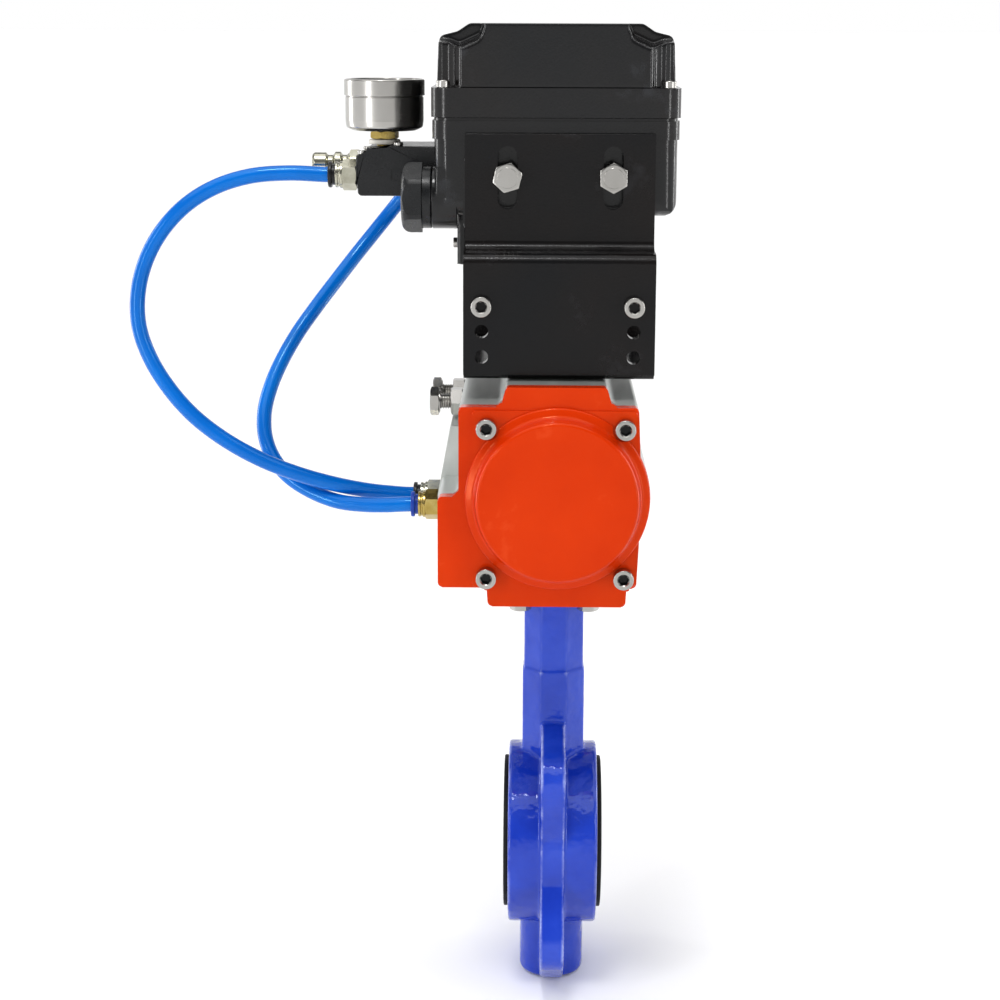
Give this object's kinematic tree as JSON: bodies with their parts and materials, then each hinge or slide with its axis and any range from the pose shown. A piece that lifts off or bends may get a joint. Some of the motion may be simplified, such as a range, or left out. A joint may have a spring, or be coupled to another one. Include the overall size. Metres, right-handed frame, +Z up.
{
  "type": "pneumatic rotary actuator on a butterfly valve",
  "caption": "Quarter-turn rack-and-pinion air actuator with orange caps on a blue wafer butterfly valve, with a black bracket, positioner, pressure gauge and blue air tubes.",
  "frame": {"origin": "where the pipe axis crosses the stem axis, at the valve's centre", "axes": "+Z up the stem to the positioner, +X along the pipe, +Y from the front end cap to the rear one"},
  "size_m": [0.2818, 0.204, 0.5101],
  "materials": {
    "blue_enamel": "gloss",
    "black_rubber": "matt",
    "stainless_steel": "satin",
    "bronze": "satin",
    "anodised_aluminium": "satin",
    "orange_paint": "semi-gloss",
    "bearing_polymer": "matt",
    "black_steel": "fine orange peel",
    "black_casting": "fine texture",
    "circuit_board": "satin",
    "brass": "polished",
    "nickel": "polished",
    "dial_face": "matt",
    "glass": "clear",
    "blue_tube": "gloss",
    "blue_plastic": "satin",
    "black_plastic": "satin"
  },
  "bodies": {
    "frame": {"valve_body": "blue_enamel", "valve_seat": "black_rubber", "lid_gasket": "black_rubber", "stem_end_plug": "stainless_steel", "flange_bolt_1": "stainless_steel", "flange_bolt_2": "stainless_steel", "flange_bolt_3": "stainless_steel", "flange_bolt_4": "stainless_steel", "cap_screw_1": "stainless_steel", "cap_screw_2": "stainless_steel", "cap_screw_3": "stainless_steel", "cap_screw_4": "stainless_steel", "stop_nut_front": "stainless_steel", "stop_nut_rear": "stainless_steel", "bracket_screw_left": "stainless_steel", "bracket_screw_right": "stainless_steel", "positioner_bolt_left": "stainless_steel", "positioner_bolt_right": "stainless_steel", "gauge_case": "stainless_steel", "stem_bush_upper": "bronze", "stem_bush_lower": "bronze", "actuator_body": "anodised_aluminium", "torque_motor": "anodised_aluminium", "end_cap_front": "orange_paint", "end_cap_rear": "orange_paint", "pinion_bearing_upper": "bearing_polymer", "pinion_bearing_lower": "bearing_polymer", "lower_bracket": "black_steel", "upper_bracket": "black_steel", "positioner_housing": "black_casting", "positioner_lid": "black_casting", "control_board": "circuit_board", "gauge_stem": "brass", "port_front_fitting": "brass", "outlet_front_fitting": "nickel", "outlet_rear_fitting": "nickel", "port_rear_fitting": "nickel", "supply_nipple": "nickel", "gauge_dial": "dial_face", "gauge_lens": "glass", "air_tube_outer": "blue_tube", "air_tube_inner": "blue_tube", "port_block": "black_plastic", "conduit_plug": "black_plastic"},
    "drive_train": {"valve_disc": "stainless_steel", "valve_stem": "stainless_steel", "pinion": "stainless_steel", "feedback_fork": "stainless_steel"},
    "piston_front": {"piston_front": "anodised_aluminium", "piston_ring_front": "black_rubber"},
    "piston_rear": {"piston_rear": "anodised_aluminium", "piston_ring_rear": "black_rubber"},
    "spindle": {"positioner_spindle": "stainless_steel"},
    "gauge_pointer": {"gauge_pointer": "black_plastic"},
    "stop_screw_front": {"stop_screw_front": "stainless_steel"},
    "stop_screw_rear": {"stop_screw_rear": "stainless_steel"},
    "outlet_front_collar": {"outlet_front_collar": "black_plastic"},
    "outlet_rear_collar": {"outlet_rear_collar": "black_plastic"},
    "port_front_collar": {"port_front_collar": "blue_plastic"},
    "port_rear_collar": {"port_rear_collar": "black_plastic"}
  },
  "joints": [
    {"name": "stem_turn", "type": "hinge", "parent": "frame", "child": "drive_train", "pos_m": [0, 0, 0.205], "axis": [0, 0, 1], "range_deg": [0, 90]},
    {"name": "piston_front_slide", "type": "slide", "parent": "frame", "child": "piston_front", "axis": [0, -1, 0], "range_m": [0, 0.02376]},
    {"name": "piston_rear_slide", "type": "slide", "parent": "frame", "child": "piston_rear", "axis": [0, 1, 0], "range_m": [0, 0.02376]},
    {"name": "spindle_turn", "type": "hinge", "parent": "frame", "child": "spindle", "pos_m": [0, 0, 0.33], "axis": [0, 0, 1], "range_deg": [0, 90.5]},
    {"name": "pointer_turn", "type": "hinge", "parent": "frame", "child": "gauge_pointer", "pos_m": [-0.0894, 0.012, 0.393], "axis": [0, 0, -1], "range_deg": [0, 270]},
    {"name": "stop_screw_front_slide", "type": "slide", "parent": "frame", "child": "stop_screw_front", "axis": [-1, 0, 0], "range_m": [0, 0.004]},
    {"name": "stop_screw_rear_slide", "type": "slide", "parent": "frame", "child": "stop_screw_rear", "axis": [-1, 0, 0], "range_m": [0, 0.004]},
    {"name": "outlet_front_collar_push", "type": "slide", "parent": "frame", "child": "outlet_front_collar", "axis": [1, 0, 0], "range_m": [0, 0.0015], "stiffness_N_per_m": 200},
    {"name": "outlet_rear_collar_push", "type": "slide", "parent": "frame", "child": "outlet_rear_collar", "axis": [0, -1, 0], "range_m": [0, 0.0015], "stiffness_N_per_m": 200},
    {"name": "port_front_collar_push", "type": "slide", "parent": "frame", "child": "port_front_collar", "axis": [1, 0, 0], "range_m": [0, 0.0015], "stiffness_N_per_m": 200},
    {"name": "port_rear_collar_push", "type": "slide", "parent": "frame", "child": "port_rear_collar", "axis": [1, 0, 0], "range_m": [0, 0.0015], "stiffness_N_per_m": 200}
  ],
  "couplings": [
    {"joint": "piston_front_slide", "follows": "stem_turn", "m_per_rad": 0.015},
    {"joint": "piston_rear_slide", "follows": "stem_turn", "m_per_rad": 0.015},
    {"joint": "spindle_turn", "follows": "stem_turn", "ratio": 1}
  ]
}
